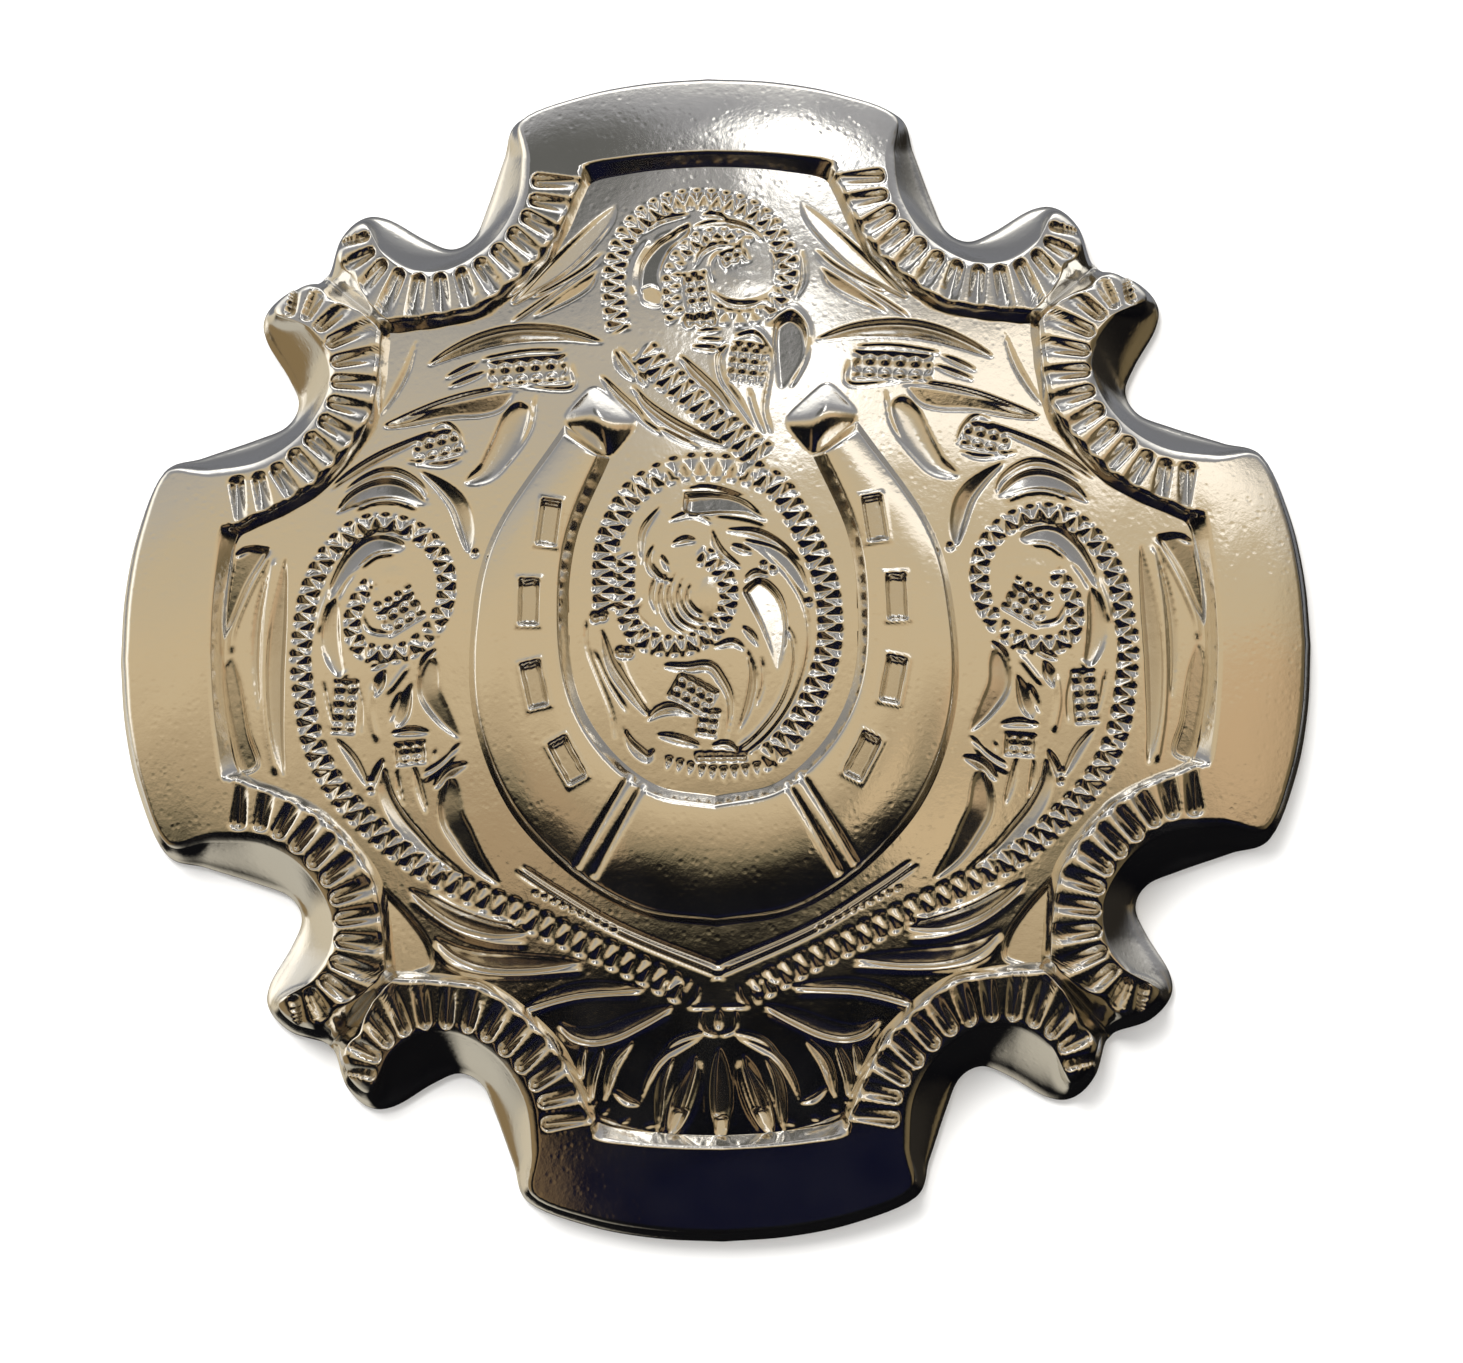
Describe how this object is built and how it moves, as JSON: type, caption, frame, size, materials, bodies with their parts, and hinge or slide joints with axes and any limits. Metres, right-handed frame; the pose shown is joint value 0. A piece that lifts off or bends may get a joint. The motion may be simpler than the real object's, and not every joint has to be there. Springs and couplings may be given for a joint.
{
  "type": "concho",
  "caption": "Domed four-armed concho with a raised horseshoe, engraved scrolls, ribbed crescents, a hollow back and a screw post.",
  "frame": {"origin": "on the table under the middle of the back, at the bottom of the flat rim", "axes": "+Z out of the carved face, +Y towards the open end of the horseshoe, +X to the right seen from the front"},
  "size_m": [0.0378, 0.0372, 0.0047],
  "materials": {
    "plated_casting": "bright nickel plate on a zinc casting, slightly soft gloss with fine pitting"
  },
  "bodies": {
    "root": {"concho": "plated_casting"}
  },
  "joints": []
}
